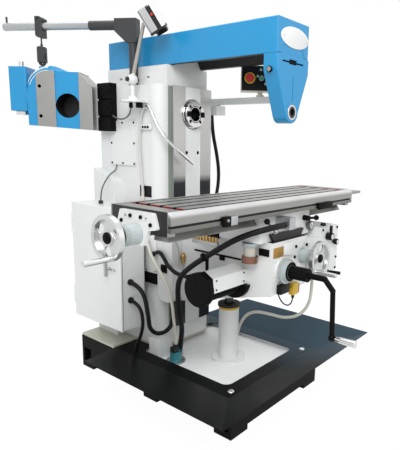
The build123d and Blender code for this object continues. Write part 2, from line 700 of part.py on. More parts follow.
def make_cords():
    cord("base_conduit", 18, [(-343, 125, 480), (-343, 84, 472), (-338, 54, 440), (-331, 50, 372),
                              (-322, 84, 290), (-314, 124, 236), (-312, 134, 187)])
    cord("cabinet_conduit", 22, [(-343, 125, 574), (-343, 74, 566), (-336, 30, 524), (-318, 26, 410),
                                 (-308, 30, 344), (-270, 21, 305), (-216, 9, 305), (-178, 0, 344),
                                 (-181, 1, 405), (-181, 1, 465)])
    cord("coolant_hose", 16, [(-212, -58, 256), (-216, -60, 318), (-236, -68, 400), (-241, -62, 490),
                              (-243, -30, 572), (-242, 25, 632), (-238, 84, 684), (-235, 130, 762),
                              (-226, 162, 850), (-210, 186, 940), (-205, 190, 1020)])
    cord("knee_conduit", 26, [(-150, -20, 163), (-156, -36, 240), (-178, -70, 340), (-224, -98, 430),
                              (-250, -112, 530), (-268, -136, 625), (-282, -214, 700), (-280, -319, 767)])
    cord("saddle_conduit", 26, [(-280, -319.4, 767.3), (-278.4, -403, 820.6), (-268, -478, 868),
                                (-246, -552, 904), (-180, -612, 928), (-87.3, -612, 928)])
    cord("drain_hose", 16, [(228, -580, 639.7), (228, -580, 560), (226, -572, 480), (205, -530, 412),
                            (176, -458, 388), (140, -388, 404), (98, -325, 415), (96, -265, 380),
                            (110, -210, 300), (112, -195, 226), (112, -195, 163)])
    cord("cover_cable", 8, [(-208, 396, 1143), (-214, 397, 1112), (-252, 394, 1096), (-288, 388, 1062),
                            (-324, 380, 1014), (-330, 375, 962)])
    cord("pendant_conduit", 20, [(222, 108, 1420), (228, 108, 1330), (264, 105, 1210), (286, 104, 1090),
                                 (276, 112, 970), (248, 130, 880), (195, 142, 820)])
    cord("coolant_pipe", 14, [(-205, 190, 1020), (-206, 200, 1120), (-207, 210, 1230), (-206, 206, 1340),
                              (-210, 190, 1400), (-211, 160, 1438), (-214, 122, 1436), (-214, 96, 1392),
                              (-210, 65, 1339), (-192, 35, 1292), (-157, 10, 1248), (-113, -8, 1207),
                              (-55, -20, 1163)])


make_base()
make_tray()
make_column()
make_covers()
make_drive()
make_ram()
make_support()
make_knee()
make_crank()
make_cross_feed()
make_saddle()
make_table()
make_feed_drive()
make_coolant()
make_cabinet()
make_pendant()
make_jib()
make_head()
make_lamp()
make_cords()
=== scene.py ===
import math

import bmesh
import bpy
from mathutils import Matrix, Vector


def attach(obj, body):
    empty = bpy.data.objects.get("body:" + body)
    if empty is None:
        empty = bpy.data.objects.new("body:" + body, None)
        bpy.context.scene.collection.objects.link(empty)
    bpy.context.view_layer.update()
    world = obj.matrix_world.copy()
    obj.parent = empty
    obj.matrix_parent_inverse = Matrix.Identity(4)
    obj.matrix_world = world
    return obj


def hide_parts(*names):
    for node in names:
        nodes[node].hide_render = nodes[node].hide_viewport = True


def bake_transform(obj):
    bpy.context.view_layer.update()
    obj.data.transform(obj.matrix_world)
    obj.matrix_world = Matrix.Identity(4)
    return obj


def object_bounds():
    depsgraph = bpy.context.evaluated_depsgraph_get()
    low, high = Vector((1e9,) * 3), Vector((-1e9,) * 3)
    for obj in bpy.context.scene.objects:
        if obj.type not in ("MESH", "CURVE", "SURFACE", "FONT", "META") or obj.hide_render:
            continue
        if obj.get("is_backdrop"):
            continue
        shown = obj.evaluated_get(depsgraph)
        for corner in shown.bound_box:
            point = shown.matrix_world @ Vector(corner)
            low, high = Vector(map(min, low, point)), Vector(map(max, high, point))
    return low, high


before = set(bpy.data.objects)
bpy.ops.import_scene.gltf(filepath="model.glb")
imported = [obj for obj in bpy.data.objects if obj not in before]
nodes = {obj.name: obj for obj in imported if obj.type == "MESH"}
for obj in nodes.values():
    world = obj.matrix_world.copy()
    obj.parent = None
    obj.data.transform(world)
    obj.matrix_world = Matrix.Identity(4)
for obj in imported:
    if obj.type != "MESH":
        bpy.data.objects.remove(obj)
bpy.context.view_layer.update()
scene = bpy.context.scene
scene.view_settings.view_transform = "Standard"

cameraLook = {
    "place": (-1.8069, -1.7461, 1.2750), "heading": 51.93, "down": 10.96, "roll": 1.488,
    "lens": 38.31, "shiftX": -0.1028, "shiftY": 0.0234, "far": 200,
}


def makeCamera(look):
    data = bpy.data.cameras.new("camera")
    data.lens = look["lens"]
    data.shift_x, data.shift_y = look["shiftX"], look["shiftY"]
    data.clip_end = look["far"]
    camera = bpy.data.objects.new("camera", data)
    scene.collection.objects.link(camera)
    turn = Matrix.Rotation(math.radians(-look["heading"]), 4, "Z")
    turn @= Matrix.Rotation(math.radians(90 - look["down"]), 4, "X")
    turn @= Matrix.Rotation(math.radians(look["roll"]), 4, "Z")
    camera.matrix_world = Matrix.Translation(look["place"]) @ turn
    scene.camera = camera


makeCamera(cameraLook)
print("camera set")


class Sock:  # a node's output, for shader maths
    def __init__(self, tree, socket):
        self.tree, self.socket = tree, socket

    def maths(self, kind, other=0.0, flipped=False):
        first, second = (other, self) if flipped else (self, other)
        return self.tree.node("Math", {"operation": kind}, {0: first, 1: second})

    def __add__(self, other):
        return self.maths("ADD", other)

    def __sub__(self, other):
        return self.maths("SUBTRACT", other)

    def __mul__(self, other):
        return self.maths("MULTIPLY", other)

    def __rsub__(self, other):
        return self.maths("SUBTRACT", other, True)

    def __gt__(self, other):
        return self.maths("GREATER_THAN", other)

    def __lt__(self, other):
        return self.maths("LESS_THAN", other)

    def __abs__(self):
        return self.maths("ABSOLUTE")

    def clamped(self):
        return self.tree.node("Clamp", {}, {0: self})

    __radd__ = __add__
    __rmul__ = __mul__


class Tree:  # the nodes of a material or of the world
    def __init__(self, owner):
        owner.use_nodes = True
        self.tree = owner.node_tree
        self.tree.nodes.clear()

    def node(self, kind, settings, sockets, output=0):
        made = self.tree.nodes.new("ShaderNode" + kind)
        for key, value in settings.items():
            setattr(made, key, value)
        for key, value in sockets.items():
            if isinstance(value, Sock):
                self.tree.links.new(value.socket, made.inputs[key])
            else:
                made.inputs[key].default_value = value
        return Sock(self, made.outputs[output]) if len(made.outputs) else None

    def blend(self, low, high, amount):
        low, high = [value if isinstance(value, Sock) else (*value, 1) for value in (low, high)]
        return self.node("Mix", {"data_type": "RGBA"}, {0: amount, 6: low, 7: high}, 2)

    def seen(self):  # 1 for what the camera sees, straight, mirrored or through glass
        kinds = ("Camera", "Glossy", "Transmission")
        rays = [self.node("LightPath", {}, {}, "Is %s Ray" % kind) for kind in kinds]
        return (rays[0] + rays[1] + rays[2]).clamped()


class Finish(Tree):  # one material, mapped on object coordinates
    def __init__(self, name):
        self.material = bpy.data.materials.new(name)
        super().__init__(self.material)
        self.where = self.node("TexCoord", {}, {}, "Object")
        self.places = None
        self.noises = {}

    def split(self, vector):  # a vector's three parts, metres made mm
        large = self.node("VectorMath", {"operation": "SCALE"}, {0: vector, "Scale": 1000.0})
        apart = self.node("SeparateXYZ", {}, {0: large})
        return [Sock(self, output) for output in apart.socket.node.outputs]

    def axes(self):  # x, y and z in mm
        if not self.places:
            self.places = self.split(self.where)
        return self.places

    def along(self, axis, start):  # mm from a start along an axis
        axis = Vector(axis).normalized()
        far = self.node("VectorMath", {"operation": "DOT_PRODUCT"}, {0: self.where, 1: axis}, "Value")
        return far * 1000 - axis.dot(Vector(start))

    def noise(self, scale, detail=3.0, stretch=(1, 1, 1)):
        key = (scale, detail, stretch)
        if key not in self.noises:
            spread = self.node("Mapping", {}, {0: self.where, 3: stretch})
            sockets = {"Vector": spread, "Scale": scale, "Detail": detail, "Roughness": 0.55}
            self.noises[key] = self.node("TexNoise", {}, sockets)
        return self.noises[key]

    def softNormal(self, radius):
        return self.node("Bevel", {}, {"Radius": radius})

    def edges(self, radius):  # 1 on edges, 0 on flat faces
        plain = self.node("NewGeometry", {}, {}, "Normal")
        facing = self.node("VectorMath", {"operation": "DOT_PRODUCT"},
                           {0: self.softNormal(radius), 1: plain}, "Value")
        return ((1 - facing) * 5.0).clamped()

    def bump(self, height, strength, radius):
        return self.node("Bump", {}, {"Height": height, "Strength": strength, "Distance": bumpDepth,
                                      "Normal": self.softNormal(radius)})

    def shade(self, varying, fixed):
        surface = self.node("BsdfPrincipled", {}, {**varying, **fixed})
        self.node("OutputMaterial", {}, {0: surface})
        return self.material


def painted(color, rough, wear, wearing=0.30, peel=0.08, coat=0.0, shine=0.5):
    wear = wear if isinstance(wear, tuple) else (wear, wear, wear)  # one number is a grey
    return {"color": color, "rough": rough, "wear": wear, "wearing": wearing, "peel": peel, "coat": coat,
            "shine": shine, "metal": 0.0, "dull": 0.93, "texture": 190.0, "grain": (1, 1, 1)}


def bare(color, rough, wear, grain=(6, 6, 6), metal=1.0):
    look = painted(color, rough, wear, 0.5, 0.05)
    return {**look, "metal": metal, "dull": 0.80, "texture": 8.0, "grain": grain}


alongX, alongZ = (3, 160, 160), (160, 160, 3)  # grain follows the way a face was ground
looks = {
    "castWhite": painted((0.79, 0.805, 0.795), 0.34, (0.62, 0.63, 0.62), peel=0.10, coat=0.25),
    "deckWhite": painted((0.92, 0.935, 0.94), 0.34, (0.70, 0.71, 0.71), peel=0.10),
    "sheetWhite": painted((0.80, 0.815, 0.81), 0.30, (0.66, 0.67, 0.66), 0.22, 0.05, 0.25),
    "skyBlue": painted((0.020, 0.285, 0.580), 0.32, (0.17, 0.43, 0.66), 0.30, 0.10, 0.12, 0.4),
    "slateBlack": painted((0.006, 0.0065, 0.0065), 0.36, (0.045, 0.05, 0.05), 0.35, shine=0.04),
    "softBlack": painted((0.006, 0.006, 0.006), 0.50, 0.04, 0.35, 0.10, shine=0.05),
    # painted reflection: blue-grey for the tray's right wing
    "reflectionBlue": painted((0.050, 0.085, 0.115), 0.34, (0.12, 0.16, 0.18), 0.35),
    "jibGrey": painted((0.040, 0.042, 0.044), 0.45, 0.17, 0.40, 0.12, shine=0.35),
    "tealPaint": painted((0.035, 0.22, 0.26), 0.34, (0.30, 0.45, 0.46), 0.35),
    "yellowPaint": painted((0.72, 0.46, 0.03), 0.38, (0.75, 0.62, 0.30), 0.25),
    "redPaint": painted((0.30, 0.035, 0.025), 0.40, (0.40, 0.12, 0.10), 0.25),
    "creamPaint": painted((0.70, 0.68, 0.58), 0.38, (0.60, 0.58, 0.52), 0.25),
    # painted shade: beige-grey for the white plinth in the cabinet's shadow
    "shadeBeige": painted((0.52, 0.52, 0.44), 0.40, (0.46, 0.46, 0.40), 0.30),
    "dialGrey": painted((0.45, 0.50, 0.51), 0.36, (0.65, 0.67, 0.67), 0.35, 0.05),
    "scaleWhite": painted((0.74, 0.75, 0.74), 0.35, 0.55, 0.30, 0.04),
    "lampGrey": painted((0.50, 0.505, 0.51), 0.38, 0.62, 0.30, 0.05),
    "lensWhite": painted((0.84, 0.85, 0.84), 0.14, 0.90, 0.20, 0.02, 0.5),
    "bowlBeige": painted((0.52, 0.49, 0.43), 0.16, (0.72, 0.68, 0.60), 0.30, 0.02, 0.5),
    "shadeGrey": painted((0.30, 0.33, 0.30), 0.40, (0.42, 0.44, 0.42), 0.25),
    "groundIron": bare((0.37, 0.37, 0.355), 0.36, 0.60, alongX),
    "shadeIron": bare((0.23, 0.225, 0.21), 0.38, 0.45, alongX),
    "highlightSteel": bare((0.86, 0.86, 0.85), 0.36, 0.90, alongX),
    "waySteel": bare((0.53, 0.525, 0.515), 0.34, 0.65, alongZ),
    "stripSteel": bare((0.40, 0.40, 0.385), 0.34, 0.55, alongZ),
    # dark steel; in the T-slots, the spindle bore and on the elevating screw it is painted shade
    "darkSteel": bare((0.050, 0.053, 0.057), 0.26, 0.20, alongZ, 0.7),
    "steel": bare((0.42, 0.42, 0.42), 0.34, 0.60),
    "bright": bare((0.78, 0.78, 0.78), 0.14, 0.85),
    "wheelSilver": bare((0.68, 0.69, 0.69), 0.30, 0.82, metal=0.85),
    "satinGrey": bare((0.50, 0.52, 0.53), 0.40, 0.70),
    "capGrey": bare((0.42, 0.48, 0.51), 0.34, 0.65, metal=0.5),
    "armSilver": bare((0.50, 0.47, 0.42), 0.34, 0.62, metal=0.7),
    "brass": bare((0.60, 0.37, 0.11), 0.28, 0.72),
    "brassPlate": bare((0.46, 0.27, 0.06), 0.40, 0.50, (120, 120, 4), 0.7),
    "copper": bare((0.27, 0.135, 0.095), 0.30, 0.40),
    "blackPlastic": painted((0.007, 0.007, 0.0075), 0.42, 0.05, 0.30, 0.05, shine=0.15),
    "greyCable": painted((0.12, 0.13, 0.13), 0.45, 0.20, 0.20),
    "creamHose": painted((0.66, 0.65, 0.56), 0.30, (0.70, 0.70, 0.62), 0.20, 0.03),
    "pipeWhite": painted((0.60, 0.61, 0.59), 0.30, 0.70, 0.20, 0.03),
    "redPlastic": painted((0.62, 0.02, 0.015), 0.22, (0.70, 0.20, 0.18), 0.20, 0.03),
    "greenPlastic": painted((0.03, 0.38, 0.14), 0.22, (0.20, 0.52, 0.30), 0.20, 0.03),
}
edgeRadius = 0.0022
bumpDepth = 0.0012


def layer(finish, look, edges):
    cloud, speck = finish.noise(5.0, 4.0), finish.noise(60.0, 2.0)
    grain = finish.noise(look["texture"], 3.0, look["grain"])
    worn = (edges * (speck * 1.6 - 0.35).clamped() * look["wearing"]).clamped()
    dull = [v * look["dull"] for v in look["color"]]
    color = finish.blend(dull, look["color"], (cloud * 1.4 + grain * 0.8 - 0.6).clamped())
    rough = (cloud - 0.5) * 0.16 + (grain - 0.5) * 0.10 + worn * 0.2 + look["rough"]
    return {"Base Color": finish.blend(color, look["wear"], worn), "Roughness": rough,
            "Metallic": look["metal"], "Coat Weight": look["coat"], "height": grain * look["peel"]}


def layered(name, first, *others):  # each other look lies where its mask is 1
    finish = Finish(name)
    edges = finish.edges(edgeRadius)
    values = layer(finish, looks[first], edges)
    for other, maskOf in others:
        mask = maskOf(finish)
        for key, value in layer(finish, looks[other], edges).items():
            if key == "Base Color":
                values[key] = finish.blend(values[key], value, mask)
            elif value != values[key]:
                values[key] = values[key] * (1 - mask) + mask * value
    values["Normal"] = finish.bump(values.pop("height"), 1.0, edgeRadius)
    return finish.shade(values, {"Coat Roughness": 0.12, "Specular IOR Level": looks[first]["shine"]})


def corrugated(name, look, pitch):  # rings across a conduit, along its own UV map
    finish = Finish(name)
    run = finish.split(finish.node("UVMap", {}, {}))[1]
    ring = (run * (math.tau / pitch)).maths("SINE") * 0.5 + 0.5
    cloud = finish.noise(20.0, 3.0)
    # painted highlight: the rings' crests are painted lighter
    light = [v * 2.2 + 0.008 for v in look["color"]]
    normal = finish.bump(ring, 0.6, 0.001)
    return finish.shade({"Base Color": finish.blend(look["color"], light, ring * (cloud * 0.8)),
                         "Roughness": (cloud - 0.5) * 0.2 + look["rough"], "Normal": normal},
                        {"Specular IOR Level": look["shine"]})


def within(value, low, high):  # None leaves that side open
    tests = [value > low] if low is not None else []
    tests += [value < high] if high is not None else []
    return math.prod(tests)


def away(u, v):  # distance from an axis
    return (u * u + v * v).maths("SQRT")


def places(finish, axes=Finish.axes, mirrored=False):
    found = dict(zip("xyz", axes(finish)))
    if mirrored:
        found["x"] = abs(found["x"])
    return found


def zone(mirrored=False, axes=Finish.axes, **sides):  # a mask that is 1 inside a box, in mm
    def mask(finish):
        found = places(finish, axes, mirrored)
        return math.prod(within(found[axis], *limits) for axis, limits in sides.items())
    return mask


def disc(x, z, radius, mirrored=False, axes=Finish.axes):  # 1 within a radius, seen from the front
    def mask(finish):
        found = places(finish, axes, mirrored)
        return away(found["x"] - x, found["z"] - z) < radius
    return mask


def fade(axis, start, end):  # from 0 to 1 along an axis
    return lambda finish: ((places(finish)[axis] - start) * (1 / (end - start))).clamped()


def both(*parts):
    return lambda finish: math.prod(part(finish) for part in parts)


def either(*parts):
    return lambda finish: sum(part(finish) for part in parts).clamped()


def marks(across, middle, height, depth, inner, count):  # thin marks round a dial
    def mask(finish):
        found = places(finish)
        u, v = found[across] - middle, found["z"] - height
        line = (v.maths("ARCTAN2", u) * (count / math.tau)).maths("FRACT") < 0.16
        return line * within(found["y" if across == "x" else "x"], *depth) * (away(u, v) > inner)
    return mask


deck = zone(x=(-290.5, 290.5), y=(-515.5, 255.5), z=(150, None))  # floor inside the tray's opening
# painted reflection: the gloss black tray is painted blue-grey towards its right wing
trayReflection = fade("x", 20, 404.6)

wayHeights = (299, 1541.5)
ways = zone(True, x=(53.5, 137), y=(None, 73.5), z=wayHeights)  # ground strips
darkerLowWays = both(ways, fade("z", 1102, 1063.5))  # the ways turn darker towards the bottom
wayShade = zone(True, x=(110.5, 136.2), y=(36.4, 75.5), z=wayHeights)  # painted shade on the flanks and the face beside them
# painted shade: the two holes in the ways are painted black inside
wayHoleShade = both(disc(41, 1217, 9.3, True), zone(y=(39.2, 90)))
columnPocket = zone(x=(-194.8, -165), y=(133, 226), z=(987, 1047))
# painted shade: the white plinth under the cabinet is painted beige-grey
plinthShade = zone(z=(None, 196.5))
nozzle = zone(y=(None, 150), z=(1100, None))  # bare end of the coolant pipe

kneeTop = zone(z=(850.2, None))
# black way wipers in front of the saddle, with painted shade in the gap under the saddle
kneeWiperShade = zone(y=(None, -556), z=(849.5, None))
tubeBand = zone(z=(439, 452.5))
tubeCap = zone(z=(452.5, None))
bowlBase = zone(z=(None, 788.2))
bowlCap = zone(z=(832.8, None))
saddleBoss = zone(x=(None, -30), y=(None, -560.5), z=(900, None))

tableMiddle, endWidth = -434, (-576, -281)
slotLength, slotHeights = (-661, 506), (1000, 1042.5)
troughWidth, troughHeights = (-576.5, -291.5), (1003, 1042.5)
# painted shade: the dog slot's inside is painted black; the table's end faces are black
dogSlotShade = zone(y=(-593.5, -580), z=(987.8, 997.2))
blackEndsAndSlotShade = either(zone(x=(None, -738.5), y=endWidth), zone(x=(580.5, None), y=endWidth), dogSlotShade)
troughs = ((-675.2, -638.5), (481.5, 518.2))
tableTroughs = either(*[zone(x=side, y=troughWidth, z=troughHeights) for side in troughs])
slots = ((-568, 8.2), (-504, 16.5), (-434, 16.5), (-364, 16.5), (-300, 8.2))  # middle and half width
# painted shade: the T-slots' insides are painted dark steel
tableSlotShade = either(*[zone(x=slotLength, y=(y - half, y + half), z=slotHeights) for y, half in slots])
tableFootShade = zone(y=(None, -580.2), z=(None, 988.5))  # painted shade: the front face below the dog slot is darker iron
tableEdgeHighlight = both(zone(y=(None, -580.2)), fade("z", 1020, 1034.3))  # painted highlight: the rounded front edge is painted bright
endLip = zone(x=(581.2, None), z=(1015.8, 1029.2))  # ground lip at the table's right end

crossTicks = marks("x", 95, 760, (-650.5, -632), 32.5, 50)
crossClutch = zone(y=(None, -650.2))
tableTicks = marks("y", tableMiddle, 955, (-823, -803), 37.5, 50)
tableClutch = zone(x=(None, -823.2))
crankTicks = marks("x", -70, 720, (-624.5, -612), 57.5, 60)

ramLength = (-558.5, 555.5)
# painted shade: the ram's underside and its groove are painted black
ramUnderShade = either(zone(y=ramLength, z=(None, 1642.5)), zone(x=(-96, 96), y=ramLength, z=(None, 1685)))
spindleKeys = zone(y=(None, 16.5))
# painted shade: the spindle's bore is painted dark steel inside
spindleBoreShade = both(disc(0, 1409.5, 31), zone(y=(45, None)))

pumpFlange = zone(z=(None, 171.2))
pumpTop = zone(z=(218.2, None))
cabinetGlands = either(zone(y=(None, 134.5)), zone(z=(945.5, None)))
doorSeam = zone(x=(-390.5, -386.5), y=(None, 133.6))

jibLook = {"turn": 118.2, "post": (-168.5, 292, 0), "sleeve": 230.2, "top": 1857.4}


def jibBar(finish):  # bare bar beyond the painted sleeve
    turn = math.radians(jibLook["turn"])
    reach = finish.along((math.cos(turn), math.sin(turn), 0), jibLook["post"])
    return (reach > jibLook["sleeve"]) * (finish.axes()[2] < jibLook["top"])


headLook = {"place": (-407.14, 737.06, 0), "turn": -51.9,
            "slopeFoot": (270, 1545), "slopeFacing": (0.696, 0.718), "slopeDepth": 0.8,
            "scaleMiddle": (47, 1508), "scaleLine": (108.2, 111.1), "scaleRim": 124.1}


def headAxes(finish):  # across and into the spare head, then up
    turn = math.radians(headLook["turn"])
    across = finish.along((math.cos(turn), math.sin(turn), 0), headLook["place"])
    into = finish.along((-math.sin(turn), math.cos(turn), 0), headLook["place"])
    return across, into, finish.axes()[2]


def headSlope(finish):
    x, _, z = headAxes(finish)
    (footX, footZ), (overX, overZ) = headLook["slopeFoot"], headLook["slopeFacing"]
    return (x - footX) * overX + (z - footZ) * overZ > -headLook["slopeDepth"]


def headLines(finish):
    x, _, z = headAxes(finish)
    middleX, middleZ = headLook["scaleMiddle"]
    reach = away(x - middleX, z - middleZ)
    return (within(reach, *headLook["scaleLine"]) + (reach > headLook["scaleRim"])).clamped()


headStrips = either(zone(axes=headAxes, y=(None, -45.5)), zone(axes=headAxes, x=(269.2, None)), headSlope)
headScale = both(headLines, zone(axes=headAxes, x=(None, 40), y=(-46.8, -20.3), z=(1545, None)))
headHoles = ((138, 1442, 62.2), (-4, 1386, 9.2), (-4, 1537, 9.2))
# painted shade: the head's bore and holes are painted black inside
headBoreShade = both(either(*[disc(*hole, axes=headAxes) for hole in headHoles]),
                zone(axes=headAxes, y=(None, 72)))

lampLook = {"place": (-250, 112, 1805), "long": (0.586, -0.18, -0.79), "facing": (0.448, -0.756, 0.485)}


def lampAxes(finish):  # along the lamp's long side and out of its glass
    long, facing = [finish.along(lampLook[key], lampLook["place"]) for key in ("long", "facing")]
    return long, None, facing


lampGlass = zone(axes=lampAxes, x=(None, 47), z=(72.9, None))
lampBand = either(zone(axes=lampAxes, z=(50.9, 72.9)), zone(axes=lampAxes, z=(14, 17)),
                  zone(axes=lampAxes, x=(47, None)))
lampBall = zone(x=(-276.2, -223.8), z=(1534, 1590))
lampCones = either(zone(x=(None, -276.2), z=(None, 1600)), zone(x=(-223.8, None), z=(None, 1600)))

mixes = {
    "basePaint": ("slateBlack", ("deckWhite", deck)),
    "trayPaint": ("slateBlack", ("reflectionBlue", trayReflection)),
    "columnPaint": ("castWhite", ("waySteel", ways), ("darkSteel", darkerLowWays), ("shadeGrey", wayShade),
                    ("softBlack", columnPocket), ("softBlack", wayHoleShade), ("shadeBeige", plinthShade)),
    "pipePaint": ("pipeWhite", ("bright", nozzle)),
    "kneePaint": ("castWhite", ("groundIron", kneeTop), ("softBlack", kneeWiperShade)),
    "ramPaint": ("skyBlue", ("softBlack", ramUnderShade)),
    "tubePaint": ("castWhite", ("yellowPaint", tubeBand), ("softBlack", tubeCap)),
    "bowlPaint": ("bowlBeige", ("copper", bowlBase), ("capGrey", bowlCap)),
    "saddlePaint": ("castWhite", ("satinGrey", saddleBoss)),
    "tableIron": ("groundIron", ("highlightSteel", tableEdgeHighlight), ("shadeIron", tableFootShade), ("darkSteel", tableSlotShade),
                  ("softBlack", blackEndsAndSlotShade), ("redPaint", tableTroughs)),
    "bracketPaint": ("castWhite", ("groundIron", endLip)),
    "crossDial": ("dialGrey", ("softBlack", crossTicks), ("softBlack", crossClutch)),
    "tableDial": ("dialGrey", ("softBlack", tableTicks), ("softBlack", tableClutch)),
    "crankDial": ("dialGrey", ("softBlack", crankTicks)),
    "jibPaint": ("jibGrey", ("satinGrey", jibBar)),
    "headPaint": ("skyBlue", ("stripSteel", headStrips), ("scaleWhite", headScale), ("softBlack", headBoreShade)),
    "spindleSteel": ("bright", ("softBlack", spindleKeys), ("darkSteel", spindleBoreShade)),
    "lampPaint": ("lampGrey", ("lensWhite", lampGlass), ("softBlack", lampBand)),
    "lampArmPaint": ("armSilver", ("scaleWhite", lampBall), ("softBlack", lampCones)),
    "pumpPaint": ("tealPaint", ("satinGrey", pumpFlange), ("softBlack", pumpTop)),
    "doorPaint": ("sheetWhite", ("greyCable", doorSeam)),
    "cabinetPaint": ("sheetWhite", ("softBlack", cabinetGlands)),
}
finishes = {key: layered(key, key) for key in looks}
for key, layers in mixes.items():
    finishes[key] = layered(key, *layers)
finishes["conduit"] = corrugated("conduit", looks["blackPlastic"], 12)
print("finishes made:", len(finishes))

nodeFinish = {
    "basePaint": "base_casting",
    "trayPaint": "chip_tray",
    "columnPaint": "column_casting",
    "kneePaint": "knee",
    "tubePaint": "elevating_tube",
    "saddlePaint": "saddle",
    "cabinetPaint": "electrical_cabinet",
    "castWhite": "feed_gearbox pendant_arm",
    "bracketPaint": "end_brackets",
    "sheetWhite": "side_cover rear_cover motor_hood lamp_bracket",
    "doorPaint": "cabinet_door",
    "ramPaint": "ram",
    "skyBlue": "arbor_support head_swivel",
    "headPaint": "vertical_head",
    "tableIron": "table",
    "steel": "spindle_bearings motor_pulley cross_screw table_screw",
    # the elevating screw is painted dark as painted shade under the knee
    "darkSteel": "elevating_screw support_bush",
    "bright": "crank_grip head_spindle",
    "spindleSteel": "spindle",
    "satinGrey": "main_motor door_handle",
    "wheelSilver": "cross_handwheel table_handwheel",
    "softBlack": "feed_motor crank_arm head_bracket clamp_lever",
    "jibPaint": "jib_arm",
    "jibGrey": "hoist_trolley",
    "pumpPaint": "coolant_pump",
    "lampArmPaint": "lamp_arm",
    "lampPaint": "lamp_head",
    "blackPlastic": "drive_belt feed_lever",
    "creamPaint": "pendant_box",
    "crankDial": "crank_dial",
    "crossDial": "cross_dial",
    "tableDial": "table_dial",
    "redPlastic": "stop_button",
    "greenPlastic": "start_button",
    "pipePaint": "coolant_pipe",
    "bowlPaint": "lubricator",
}
for key, names in nodeFinish.items():
    for name in names.split():
        materials = nodes[name].data.materials
        materials.clear()
        materials.append(finishes[key])
print("nodes finished")

conduit = {"slot": "black_rubber", "finish": "conduit"}
hose = {"slot": "cream_hose", "finish": "creamHose"}
cordLooks = {
    "baseConduit": {
        "node": "base_conduit", **conduit, "diameter": 18, "length": 356, "rides": "frame", "points": [
            (-343, 125, 480), (-343, 84, 472), (-338, 54, 440), (-331, 50, 372), (-322, 84, 290),
            (-314, 124, 236), (-312, 134, 187)]},
    "cabinetConduit": {
        "node": "cabinet_conduit", **conduit, "diameter": 22, "length": 568, "bends": ("frame", "knee"),
        "start": (-310, 28, 400), "end": (-180, 1, 372), "points": [
            (-343, 125, 574), (-343, 74, 566), (-336, 30, 524), (-318, 26, 410), (-308, 30, 344),
            (-270, 21, 305), (-216, 9, 305), (-178, 0, 344), (-181, 1, 405), (-181, 1, 465)]},
    "coolantHose": {
        "node": "coolant_hose", **hose, "diameter": 16, "length": 842, "rides": "frame", "points": [
            (-212, -58, 256), (-216, -60, 318), (-236, -68, 400), (-241, -62, 490), (-243, -30, 572),
            (-242, 25, 632), (-238, 84, 684), (-235, 130, 762), (-226, 162, 850), (-210, 186, 940),
            (-205, 190, 1020)]},
    "kneeConduit": {
        "node": "knee_conduit", **conduit, "diameter": 26, "length": 725, "bends": ("frame", "knee"),
        "start": (-150, -20, 200), "end": (-282, -290, 750), "points": [
            (-150, -20, 163), (-156, -36, 240), (-178, -70, 340), (-224, -98, 430), (-250, -112, 530),
            (-268, -136, 625), (-282, -214, 700), (-280, -319, 767)]},
    "saddleConduit": {
        "node": "saddle_conduit", **conduit, "diameter": 26, "length": 452, "bends": ("knee", "saddle"),
        "start": (-280, -340, 780), "end": (-130, -600, 920), "points": [
            (-280, -319.4, 767.3), (-278.4, -403, 820.6), (-268, -478, 868), (-246, -552, 904),
            (-180, -612, 928), (-87.3, -612, 928)]},
    "drainHose": {
        "node": "drain_hose", **hose, "diameter": 16, "length": 775, "bends": ("knee", "frame"),
        "start": (228, -580, 600), "end": (110, -210, 260), "points": [
            (228, -580, 639.7), (228, -580, 560), (226, -572, 480), (205, -530, 412), (176, -458, 388),
            (140, -388, 404), (98, -325, 415), (96, -265, 380), (110, -210, 300), (112, -195, 226),
            (112, -195, 163)]},
    "coverCable": {
        "node": "cover_cable", "slot": "grey_cable", "finish": "greyCable", "diameter": 8, "length": 232,
        "rides": "frame", "points": [
            (-208, 396, 1143), (-214, 397, 1112), (-252, 394, 1096), (-288, 388, 1062), (-324, 380, 1014),
            (-330, 375, 962)]},
    "pendantConduit": {
        "node": "pendant_conduit", **conduit, "diameter": 20, "length": 632, "rides": "frame", "points": [
            (222, 108, 1420), (228, 108, 1330), (264, 105, 1210), (286, 104, 1090), (276, 112, 970),
            (248, 130, 880), (195, 142, 820)]},
    "motorCable": {
        **conduit, "diameter": 20, "length": 465, "bends": ("frame", "knee"),
        "start": (-222, 90, 710), "end": (-216, -320, 655), "points": [
            (-216, 100, 704), (-227, 68, 718), (-233, 34, 727), (-234, 6, 706), (-234, -20, 672),
            (-233, -56, 648), (-232, -90, 637), (-228, -160, 632), (-220, -240, 640), (-214, -296, 652),
            (-213, -326, 660)]},
    "lampCable": {
        "slot": "black_rubber", "finish": "greyCable", "diameter": 8, "length": 214,
        "rides": "frame", "points": [
            (-250, 216, 1431), (-250, 222, 1404), (-246, 260, 1381), (-236, 320, 1375), (-226, 372, 1386),
            (-222, 402, 1396)]},
    "switchCable": {
        "slot": "black_rubber", "finish": "blackPlastic", "diameter": 6, "length": 190,
        "rides": "knee", "points": [
            (20, -600, 592), (20, -600, 560), (8, -600, 544), (-20, -599, 540), (-56, -596, 560),
            (-84, -592, 596), (-92, -590, 622)]},
    "oilTube": {
        "slot": "grey_metal", "finish": "satinGrey", "diameter": 5, "length": 226,
        "rides": "knee", "points": [
            (-214, -36, 806), (-200, -44, 790), (-180, -48, 745), (-184, -50, 690), (-176, -50, 645),
            (-158, -50, 634), (-150, -50, 650), (-150, -48, 672)]},
}


